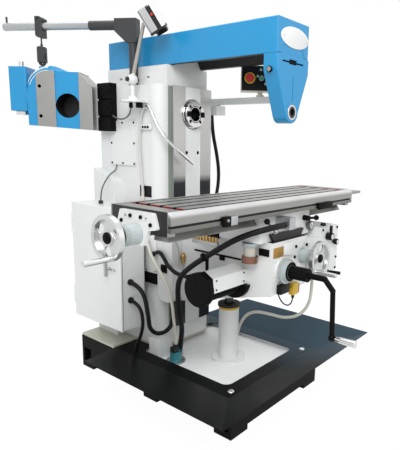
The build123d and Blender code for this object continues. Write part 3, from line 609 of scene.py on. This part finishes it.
def makeCord(name, look):
    curve = bpy.data.curves.new(name, "CURVE")
    curve.dimensions = "3D"
    curve.resolution_u = 10
    spline = curve.splines.new("NURBS")
    points = [Vector(point) / 1000 for point in look["points"]]
    spline.points.add(len(points) - 1)
    for spot, point in zip(spline.points, points):
        spot.co = (*point, 1)
    spline.order_u = 3  # after the points, or the spline stays straight runs
    spline.use_endpoint_u = True
    route = bpy.data.objects.new(name + "Route", curve)
    scene.collection.objects.link(route)
    line = bpy.data.meshes.new_from_object(route)
    path = [tuple(v.co) for v in line.vertices]
    curve.bevel_depth = look["diameter"] / 2000
    curve.bevel_resolution = 5
    curve.use_fill_caps = True
    tube = bpy.data.meshes.new_from_object(route)
    bpy.data.objects.remove(route)
    length = sum((Vector(b) - Vector(a)).length for a, b in zip(path, path[1:]))
    for corner in tube.uv_layers[0].data:  # UV in metres along the cord
        corner.uv = (corner.uv[1], corner.uv[0] * length)
    tube.polygons.foreach_set("use_smooth", [True] * len(tube.polygons))
    tube.materials.clear()
    tube.materials.append(finishes[look["finish"]])
    cord = bpy.data.objects.new(name, tube)
    scene.collection.objects.link(cord)
    if "rides" in look:
        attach(cord, look["rides"])
    else:
        ends = {key: tuple(v / 1000 for v in look[key]) for key in ("start", "end")}
        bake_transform(cord)
    if "node" in look:
        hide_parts(look["node"])
    print(name, round(length * 1000), "mm")


for key, look in cordLooks.items():
    makeCord(key, look)
print("cords laid")


def onFace(origin, normal, up=(0, 0, 1)):  # x to the right and y up on a face, z out of it
    out = Vector(normal).normalized()
    right = Vector(up).cross(out).normalized()
    turn = Matrix((right, out.cross(right), out)).transposed().to_4x4()
    return Matrix.Translation(origin) @ turn


class Piece:  # one object made of bevelled shapes, in mm as the CAD is
    def __init__(self, name, body, slot):
        self.name, self.body, self.slot = name, body, slot
        self.whole = bmesh.new()
        self.looks = []

    def take(self, part, finish, turn=None):
        if turn:
            bmesh.ops.transform(part, matrix=turn, verts=part.verts)
        if finish not in self.looks:
            self.looks.append(finish)
        bmesh.ops.recalc_face_normals(part, faces=part.faces)
        for face in part.faces:
            face.material_index = self.looks.index(finish)
            face.smooth = True
        mesh = bpy.data.meshes.new("shape")
        part.to_mesh(mesh)
        part.free()
        self.whole.from_mesh(mesh)
        bpy.data.meshes.remove(mesh)

    def soften(self, part, edges, amount, segments=2):
        if amount:
            bmesh.ops.bevel(part, geom=edges, offset=amount, segments=segments, profile=0.5,
                            affect="EDGES", material=-1)

    def box(self, finish, low, high, soft=1.0, corner=0, turn=None):  # corner rounds the upright edges
        part = bmesh.new()
        bmesh.ops.create_cube(part, size=1.0)
        bmesh.ops.scale(part, vec=[b - a for a, b in zip(low, high)], verts=part.verts)
        bmesh.ops.translate(part, vec=[(a + b) / 2 for a, b in zip(low, high)], verts=part.verts)
        upright = [e for e in part.edges if abs(e.verts[0].co.z - e.verts[1].co.z) > 1e-4]
        self.soften(part, upright, corner, 6)
        self.soften(part, [e for e in part.edges if e.calc_face_angle(0) > 0.6], soft)
        self.take(part, finish, turn)

    def panel(self, finish, width, height, thick, turn, corner=4, soft=0.6):
        self.box(finish, (-width / 2, -height / 2, -1), (width / 2, height / 2, thick), soft, corner, turn)

    def turned(self, finish, profile, start, axis, steps=40):
        part = bmesh.new()
        spots = [part.verts.new((radius, 0, along)) for radius, along in profile]
        lines = [part.edges.new(pair) for pair in zip(spots, spots[1:])]
        bmesh.ops.spin(part, geom=spots + lines, cent=(0, 0, 0), axis=(0, 0, 1), steps=steps,
                       angle=math.radians(360), use_merge=True)
        bmesh.ops.remove_doubles(part, verts=part.verts, dist=0.001)
        self.take(part, finish, onFace(start, axis, (0, 0, 1) if abs(axis[2]) < 0.9 else (0, 1, 0)))

    def rod(self, finish, start, end, radius, tip=None, soft=1.0):
        along = Vector(end) - Vector(start)
        tip = radius if tip is None else tip
        far = along.length
        profile = [(0, 0), (radius - soft, 0), (radius, soft)]
        profile += [(tip, far - soft), (tip - soft, far), (0, far)]
        self.turned(finish, profile, start, along.normalized(), 28)

    def ring(self, finish, inner, outer, thick, start, axis, soft=0.8):
        profile = [(inner, -1), (outer, -1), (outer, thick - soft), (outer - soft, thick)]
        profile += [(inner + soft, thick), (inner, thick - soft), (inner, -1)]
        self.turned(finish, profile, start, axis)

    def ball(self, finish, centre, radius):
        part = bmesh.new()
        bmesh.ops.create_uvsphere(part, u_segments=24, v_segments=14, radius=radius)
        self.take(part, finish, Matrix.Translation(centre))

    def bolt(self, finish, place, axis, radius):  # socket head
        r = radius
        self.turned(finish, [(0, -1), (r, -1), (r, 0.6 * r), (0.85 * r, 0.8 * r), (0.5 * r, 0.8 * r),
                             (0.45 * r, 0.3 * r), (0, 0.3 * r)], place, axis, 16)

    def knob(self, finish, faceFinish, place, axis, radius, length):
        r = radius
        self.turned(finish, [(0, -1), (0.7 * r, -1), (0.7 * r, 0.3 * length), (r, 0.4 * length),
                             (r, 0.9 * length), (0.9 * r, length), (0, length)], place, axis, 24)
        face = [(0, -1), (0.72 * r, -1), (0.72 * r, 0.5), (0.6 * r, 1), (0, 1)]
        self.turned(faceFinish, face, Vector(place) + Vector(axis) * length, axis, 24)

    def plate(self, finish, outline, thick, turn, soft=1.0):
        part = bmesh.new()
        face = part.faces.new([part.verts.new((x, y, 0)) for x, y in outline])
        made = bmesh.ops.extrude_face_region(part, geom=[face])["geom"]
        moved = [v for v in made if isinstance(v, bmesh.types.BMVert)]
        bmesh.ops.translate(part, vec=(0, 0, thick), verts=moved)
        bmesh.ops.recalc_face_normals(part, faces=part.faces)
        self.soften(part, [e for e in part.edges if e.calc_face_angle(0) > 0.6], soft)
        self.take(part, finish, turn)

    def done(self):
        mesh = bpy.data.meshes.new(self.name)
        bmesh.ops.scale(self.whole, vec=(0.001, 0.001, 0.001), verts=self.whole.verts)
        self.whole.to_mesh(mesh)
        self.whole.free()
        for finish in self.looks:
            mesh.materials.append(finishes[finish])
        mesh.set_sharp_from_angle(angle=math.radians(34))
        piece = bpy.data.objects.new(self.name, mesh)
        scene.collection.objects.link(piece)
        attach(piece, self.body)


front, left, right, above = (0, -1, 0), (-1, 0, 0), (1, 0, 0), (0, 0, 1)


def arc(middle, half, start, end, count):  # points on an ellipse, from one angle to another
    turns = [math.radians(start + (end - start) * i / (count - 1)) for i in range(count)]
    return [(middle[0] + half[0] * math.cos(turn), middle[1] + half[1] * math.sin(turn)) for turn in turns]


ramBadge = {"place": (8, -560, 1716), "half": (106, 43), "thick": 2.5, "screwGap": 86, "screwLift": 2,
            "screwRadius": 4}
piece = Piece("ramBadge", "ram", "white_paint")
oval = arc((0, 0), ramBadge["half"], 0, 352.5, 48)
piece.plate("sheetWhite", oval, ramBadge["thick"], onFace(ramBadge["place"], front))
x, y, z = ramBadge["place"]
for side in (-1, 1):
    place = (x + side * ramBadge["screwGap"], y - ramBadge["screwLift"], z)
    piece.bolt("bright", place, front, ramBadge["screwRadius"])
piece.done()

supportTrim = {"slots": [((-85, -557, 1611), (79, -555, 1618)), ((-35, -560, 1606), (24, -558, 1626))],
               "eye": (0, -565, 1409.5), "bushRing": (24.4, 33, 2.5), "rim": (35, 45, 1.6),
               "knob": (-121, -530, 1576), "knobSize": (13, 13)}
piece = Piece("supportTrim", "arbor_support", "black_paint")
# the slots are thin black boxes on the face: painted shade where the slots lie
for low, high in supportTrim["slots"]:
    piece.box("softBlack", low, high, 0.3)
piece.ring("bright", *supportTrim["bushRing"], supportTrim["eye"], front)
piece.ring("skyBlue", *supportTrim["rim"], supportTrim["eye"], front)
piece.knob("softBlack", "steel", supportTrim["knob"], left, *supportTrim["knobSize"])
piece.done()

noseTrim = {"face": (0, 17, 1409.5), "boltReach": 36, "boltDepth": 4, "boltRadius": 7, "ring": (39, 43, 0.6),
            "keyReach": 49, "keyHalf": (9.4, 13.1), "keyDepth": (7.5, 16.8)}
piece = Piece("noseTrim", "spindle", "black_paint")
x, y, z = noseTrim["face"]
reach, (halfX, halfZ), (near, far) = [noseTrim[key] for key in ("boltReach", "keyHalf", "keyDepth")]
for across in (-1, 1):
    for up in (-1, 1):
        place = (x + across * reach, y + noseTrim["boltDepth"], z + up * reach)
        piece.bolt("softBlack", place, front, noseTrim["boltRadius"])
    middle = x + across * noseTrim["keyReach"]
    piece.box("softBlack", (middle - halfX, near, z - halfZ), (middle + halfX, far, z + halfZ), 0.5)
# the thin black ring is painted shade in the gap round the nose's inner step
piece.ring("softBlack", *noseTrim["ring"], noseTrim["face"], front, 0.2)
piece.done()

pendantFront = {"place": (232, -215, 0), "turn": -51.9, "face": -40, "panel": (141, 119, 1.5),
                "middle": (-24.5, 1593.5), "corner": 6, "stop": (-54, 1594), "stopRing": (20.6, 27, 4),
                "start": (4, 1594), "startRing": (8.5, 13, 4), "lamps": [(0, 1634), (-16, 1603)],
                "lampSize": (6, 4), "knobs": [(26, 1601), (27, 1568)], "knobSize": (11, 10)}
pendantPlace = Matrix.Translation(pendantFront["place"])
pendantPlace @= Matrix.Rotation(math.radians(pendantFront["turn"]), 4, "Z")
pendantOut = pendantPlace.to_3x3() @ Vector(front)


def onPanel(spot):
    return pendantPlace @ Vector((spot[0], pendantFront["face"] - pendantFront["panel"][2], spot[1]))


piece = Piece("pendantPanel", "pendant_box", "black_plastic")
x, z = pendantFront["middle"]
turn = pendantPlace @ onFace((x, pendantFront["face"], z), front)
piece.panel("blackPlastic", *pendantFront["panel"], turn, pendantFront["corner"])
piece.ring("yellowPaint", *pendantFront["stopRing"], onPanel(pendantFront["stop"]), pendantOut)
piece.ring("satinGrey", *pendantFront["startRing"], onPanel(pendantFront["start"]), pendantOut)
for spot in pendantFront["lamps"]:
    piece.knob("satinGrey", "greenPlastic", onPanel(spot), pendantOut, *pendantFront["lampSize"])
for spot in pendantFront["knobs"]:
    piece.knob("blackPlastic", "satinGrey", onPanel(spot), pendantOut, *pendantFront["knobSize"])
piece.done()

bracketBolts = {"x": -240, "radius": 8, "places": [(473, 1502), (412, 1518), (412, 1434), (480, 1374)]}
piece = Piece("bracketBolts", "frame", "black_paint")
for y, z in bracketBolts["places"]:
    piece.bolt("softBlack", (bracketBolts["x"], y, z), left, bracketBolts["radius"])
piece.done()

coverScrews = {"x": -203, "y": (256, 348.5, 441), "z": (1153, 1257, 1361), "radius": 5}
piece = Piece("coverScrews", "frame", "steel")
for i, y in enumerate(coverScrews["y"]):
    for j, z in enumerate(coverScrews["z"]):
        if (i, j) != (1, 1):  # none in the middle
            piece.bolt("softBlack", (coverScrews["x"], y, z), left, coverScrews["radius"])
piece.done()

sumpBox = {"low": (-262, 17, 162), "high": (-166, 93, 268), "soft": 3, "corner": 5}
piece = Piece("sumpBox", "frame", "white_paint")
piece.box("sheetWhite", *sumpBox.values())
piece.done()

junctionBox = {"box": ((-217, 80, 600), (-194.5, 166, 800)), "foot": ((-222, 76, 545), (-192, 168, 602)),
               "screwX": -217, "screwY": (90, 156), "screwZ": (612, 788), "screwRadius": 3.5,
               "gland": ((-215, 100, 704), (-226, 92, 706), 14, 13)}
piece = Piece("junctionBox", "frame", "white_paint")
piece.box("sheetWhite", *junctionBox["box"], 2)
piece.box("softBlack", *junctionBox["foot"], 2)
for y in junctionBox["screwY"]:
    for z in junctionBox["screwZ"]:
        piece.bolt("softBlack", (junctionBox["screwX"], y, z), left, junctionBox["screwRadius"])
piece.rod("blackPlastic", *junctionBox["gland"])
piece.done()

valveBlock = {"box": ((-208, 122, 1326), (-194.5, 196, 1352)),
              "dots": (140, 159, 178), "height": 1339, "radius": 6}
piece = Piece("valveBlock", "frame", "white_paint")
piece.box("sheetWhite", *valveBlock["box"], 2)
for y in valveBlock["dots"]:
    piece.bolt("softBlack", (valveBlock["box"][0][0], y, valveBlock["height"]), left, valveBlock["radius"])
piece.done()

oilManifold = {"bar": ((-202, -332, 844), (-186, -172, 874)), "rail": ((-214, -332, 806), (-198, -172, 824)),
               "x": -206, "y": (-184, -320), "count": 8, "tube": (823, 848), "radius": 6,
               "nut": [(0, 0), (7.5, 0), (7.5, 7), (0, 7)], "nutFoot": 824}
piece = Piece("oilManifold", "saddle", "bronze")
piece.box("softBlack", *oilManifold["bar"], 1)
piece.box("steel", *oilManifold["rail"], 1.5)
x, (first, last), (low, high) = oilManifold["x"], oilManifold["y"], oilManifold["tube"]
for i in range(oilManifold["count"]):
    y = first + i * (last - first) / (oilManifold["count"] - 1)
    piece.rod("brass", (x, y, low), (x, y, high), oilManifold["radius"])
    piece.turned("brass", oilManifold["nut"], (x, y, oilManifold["nutFoot"]), above, 6)
piece.done()

kneeFront = {"face": -587.5, "thick": 8, "soft": 1.2, "hub": (95, 760), "hole": 36,
             "right": 139, "step": 10, "stepRise": (775, 785), "left": -51, "heights": (700, 838),
             "bolts": [(35, 812), (128, 807), (26, 764), (30, 712)], "boltRadius": 7,
             "label": (-95, -588, 803), "labelSize": (78, 46, 1.5)}
piece = Piece("kneeFrontPlate", "knee", "white_paint")
hub, r, x0, x1 = kneeFront["hub"], kneeFront["hole"], kneeFront["step"], kneeFront["right"]
(inner, outer), (low, high) = kneeFront["stepRise"], kneeFront["heights"]
upper = [(x1, hub[1])] + arc(hub, (r, r), 0, 180, 19)
upper += [(x0, hub[1]), (x0, inner), (kneeFront["left"], outer), (kneeFront["left"], high), (x1, high)]
lower = [(x0, hub[1])] + arc(hub, (r, r), 180, 360, 19) + [(x1, hub[1]), (x1, low), (x0, low)]
turn = onFace((0, kneeFront["face"], 0), front)
for outline in (upper, lower):  # two halves round the hub's hole
    piece.plate("castWhite", outline, kneeFront["thick"], turn, kneeFront["soft"])
for x, z in kneeFront["bolts"]:
    piece.bolt("softBlack", (x, kneeFront["face"] - kneeFront["thick"], z), front, kneeFront["boltRadius"])
piece.panel("brassPlate", *kneeFront["labelSize"], onFace(kneeFront["label"], front), 2, 0.4)
piece.done()

kneeSide = {"boxes": [((-144, -571, 787), (-139, -515, 819), 1), ((-145, -416, 745), (-139, -120, 753), 1),
                      ((-147, -316, 726), (-139, -286, 746), 2), ((-224, 0, 620), (-214, 40, 660), 2),
                      ((-229, 8, 626), (-223, 32, 654), 2)],
            "stem": ((-139, -180, 729), (-146, -180, 729), 5), "ball": ((-148, -180, 729), 13),
            "oiler": (-150, -48, 668), "oilerStem": ((-150, -34, 704), (-150, -48, 704), 6),
            "oilerProfile": [(0, 0), (7, 0), (8, 6), (8, 30), (12, 32), (12, 40), (7, 44), (7, 52), (0, 54)]}
piece = Piece("kneeSideTrim", "knee", "black_paint")
for low, high, soft in kneeSide["boxes"]:
    piece.box("softBlack", low, high, soft)
piece.rod("softBlack", *kneeSide["stem"])
piece.ball("softBlack", *kneeSide["ball"])
piece.turned("brass", kneeSide["oilerProfile"], kneeSide["oiler"], above, 24)
piece.rod("brass", *kneeSide["oilerStem"])
piece.done()

motorTrim = {"face": -452, "screws": [(-165, 700), (-165, 660), (-350, 700), (-350, 660)], "screwRadius": 4,
             "clip": [((-296, -330, 752), (-264, -308, 782), 3), ((-270, -326, 700), (-262, -312, 756), 1),
                      ((-270, -334, 694), (-240, -312, 702), 1)]}
piece = Piece("motorTrim", "knee", "black_paint")
for x, z in motorTrim["screws"]:
    piece.bolt("softBlack", (x, motorTrim["face"], z), front, motorTrim["screwRadius"])
for low, high, soft in motorTrim["clip"]:
    piece.box("softBlack", low, high, soft)
piece.done()

limitSwitch = {"boxes": [("blackPlastic", (-100, -614, 612), (-30, -587, 654), 3),
                         ("yellowPaint", (-4, -616, 588), (46, -590, 644), 4),
                         ("blackPlastic", (46, -610, 590), (62, -592, 634), 3),
                         ("softBlack", (-98, -594, 612), (60, -587, 638), 1)],
               "gland": ((20, -600, 590), (20, -600, 568), 9, 6)}
piece = Piece("limitSwitch", "knee", "black_plastic")
for finish, low, high, soft in limitSwitch["boxes"]:
    piece.box(finish, low, high, soft)
piece.rod("blackPlastic", *limitSwitch["gland"])
piece.done()

crankTrim = {"ring": (31, 44, 1.5), "place": (-70, -642, 720)}
piece = Piece("crankCollar", "elevating_crank", "black_paint")
piece.ring("softBlack", *crankTrim["ring"], crankTrim["place"], front)
piece.done()

hubProfile = [(0, -1), (20, -1), (20, 3), (17, 6), (10, 6), (10, 9), (7, 10), (0, 10)]
wheelHubs = {"cross": ((95, -692, 760), front), "table": ((-874, -434, 955), left)}
for key, (place, axis) in wheelHubs.items():
    piece = Piece(key + "WheelHub", key + "_feed", "black_paint")
    piece.turned("softBlack", hubProfile, place, axis)
    piece.done()

gearboxTrim = {"face": -625, "knob": (340, 797), "knobSize": (15, 26), "boltRadius": 6,
               "bolts": [(228, 868), (371, 866), (374, 711), (372, 655), (155, 655)],
               "handle": ((300, -624, 649), (300, -694, 649), 5, 9), "cap": (280, -596, 880),
               "capProfile": [(0, -1), (14, -1), (14, 8), (11, 13), (0, 13)]}
piece = Piece("gearboxTrim", "knee", "black_plastic")
x, z = gearboxTrim["knob"]
piece.knob("blackPlastic", "bright", (x, gearboxTrim["face"], z), front, *gearboxTrim["knobSize"])
for x, z in gearboxTrim["bolts"]:
    piece.bolt("softBlack", (x, gearboxTrim["face"], z), front, gearboxTrim["boltRadius"])
piece.rod("blackPlastic", *gearboxTrim["handle"])
piece.turned("blackPlastic", gearboxTrim["capProfile"], gearboxTrim["cap"], above, 28)
piece.done()

leverFace = {"place": (274, -656, 832), "profile": [(0, -1), (13, -1), (13, 0.6), (11, 1), (0, 1)]}
piece = Piece("leverFace", "feed_lever", "steel")
piece.turned("bright", leverFace["profile"], leverFace["place"], front, 28)
piece.done()

saddleTrim = {"knob": (190, -560, 890), "knobSize": (22, 24), "ball": ((-190, -589, 952), 13),
              "stem": [((-95, -559, 888), (-95, -572, 888), 12), ((-95, -572, 888), (-186, -588, 949), 5)]}
piece = Piece("saddleTrim", "saddle", "steel")
piece.knob("greyCable", "bright", saddleTrim["knob"], front, *saddleTrim["knobSize"])
for start, end, radius in saddleTrim["stem"]:
    piece.rod("bright", start, end, radius)
piece.ball("softBlack", *saddleTrim["ball"])
piece.done()

tableDogs = {"boxes": [("softBlack", (-484, -606, 964), (-443, -593, 1003)),
                       ("softBlack", (215, -606, 966), (350, -593, 998)),
                       ("satinGrey", (-443, -605, 966), (-402, -593, 1001))],
             "bolt": (-463, -606, 988), "boltRadius": 6}
piece = Piece("tableDogs", "table", "black_paint")
for finish, low, high in tableDogs["boxes"]:
    piece.box(finish, low, high, 2)
piece.bolt("steel", tableDogs["bolt"], front, tableDogs["boltRadius"])
piece.done()

endBolts = {"left": -755, "right": 597, "rightDrop": 14,
            "bolts": [(-28, 1016), (28, 1016), (-78, 994), (78, 994)], "boltRadius": 7,
            "pins": [(-55, 1015), (55, 1015)], "pinRadius": 4}
piece = Piece("endBracketBolts", "table", "black_paint")
for off, z in endBolts["bolts"]:
    piece.bolt("softBlack", (endBolts["left"], tableMiddle + off, z), left, endBolts["boltRadius"])
    lowered = z - endBolts["rightDrop"]
    piece.bolt("softBlack", (endBolts["right"], tableMiddle + off, lowered), right, endBolts["boltRadius"])
for off, z in endBolts["pins"]:
    piece.bolt("steel", (endBolts["left"], tableMiddle + off, z), left, endBolts["pinRadius"])
piece.done()

lampTrim = {"back": ((58, -26, 38), (74, 26, 80)), "fins": (60, 66, 72), "finThick": 3, "finHalf": 35,
            "finHeights": (32, 86), "switch": (-20, -37, 62), "switchSize": (9, 4)}
lampOut, lampAlong = Vector(lampLook["facing"]).normalized(), Vector(lampLook["long"])
lampAlong = (lampAlong - lampOut * lampAlong.dot(lampOut)).normalized()
lampPlace = Matrix((lampAlong, lampOut.cross(lampAlong), lampOut)).transposed().to_4x4()
lampPlace = Matrix.Translation(lampLook["place"]) @ lampPlace
piece = Piece("lampTrim", "lamp_head", "black_plastic")
piece.box("blackPlastic", *lampTrim["back"], 2, 0, lampPlace)
half, (low, high) = lampTrim["finHalf"], lampTrim["finHeights"]
for x in lampTrim["fins"]:
    piece.box("blackPlastic", (x, -half, low), (x + lampTrim["finThick"], half, high), 0.8, 0, lampPlace)
lampSide = lampPlace.to_3x3() @ Vector(front)
switch = lampPlace @ Vector(lampTrim["switch"])
piece.knob("blackPlastic", "redPlastic", switch, lampSide, *lampTrim["switchSize"])
piece.done()

lampGlands = {"low": 1429.5, "high": 1454.8, "places": [(-250, 216, 9.5), (-237, 168, 17)]}
piece = Piece("lampGlands", "frame", "black_plastic")
for x, y, radius in lampGlands["places"]:
    piece.rod("softBlack", (x, y, lampGlands["low"]), (x, y, lampGlands["high"]), radius)
piece.done()

trayBolts = {"places": [(-297, -500, 187), (297, -500, 187)],
             "profile": [(0, -1), (15, -1), (15, 3), (12, 6), (6, 7), (0, 7)]}
piece = Piece("trayBolts", "frame", "steel")
for place in trayBolts["places"]:
    piece.turned("bright", trayBolts["profile"], place, above, 28)
piece.done()

doorLock = {"ring": (9, 17, 4), "ringPlace": (-400, 215, 640), "studPlace": (-400, 178, 640),
            "stud": [(0, -1), (10, -1), (10, 5), (8, 7), (0, 7)]}
piece = Piece("doorLock", "cabinet_door", "steel")
piece.ring("bright", *doorLock["ring"], doorLock["ringPlace"], left)
piece.turned("bright", doorLock["stud"], doorLock["studPlace"], left)
piece.done()
print("trim pieces made")

stageLook = {"floor": 60, "floorColor": (0.94, 0.94, 0.94), "lift": 0.93, "glow": 1.04, "fill": 0.50}
lamps = {
    "key": {"place": (-2.6, -2.4, 3.6), "size": 2.6, "power": 140},
    "front": {"place": (1.6, -3.4, 2.2), "size": 2.4, "power": 12},
    "top": {"place": (0.2, 0.6, 4.2), "size": 3.0, "power": 55},
}
lampAim = (0, 0, 0.9)


def makeStage(look):
    mesh = bpy.data.meshes.new("floor")
    bm = bmesh.new()
    bmesh.ops.create_grid(bm, x_segments=1, y_segments=1, size=look["floor"])
    bm.to_mesh(mesh)
    bm.free()
    floor = bpy.data.objects.new("floor", mesh)
    scene.collection.objects.link(floor)
    floor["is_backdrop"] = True
    finish = Finish("floor")
    plain = finish.node("BsdfDiffuse", {}, {"Color": (*look["floorColor"], 1)})
    glow = finish.node("Emission", {}, {"Color": (1, 1, 1, 1), "Strength": look["glow"]})
    mixed = finish.node("MixShader", {}, {0: finish.seen() * look["lift"], 1: plain, 2: glow})
    finish.node("OutputMaterial", {}, {0: mixed})
    mesh.materials.append(finish.material)
    scene.world = bpy.data.worlds.new("studio")
    studio = Tree(scene.world)
    strength = studio.seen() * (1 - look["fill"]) + look["fill"]
    background = studio.node("Background", {}, {"Color": (1, 1, 1, 1), "Strength": strength})
    studio.node("OutputWorld", {}, {0: background})


def makeLamp(name, look):
    data = bpy.data.lights.new(name, "AREA")
    data.size = look["size"]
    data.energy = look["power"]
    lamp = bpy.data.objects.new(name, data)
    scene.collection.objects.link(lamp)
    aim = Vector(lampAim) - Vector(look["place"])
    lamp.matrix_world = Matrix.Translation(look["place"]) @ aim.to_track_quat("-Z", "Y").to_matrix().to_4x4()


makeStage(stageLook)
for key, look in lamps.items():
    makeLamp(key, look)
print("stage and lamps set")

low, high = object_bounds()
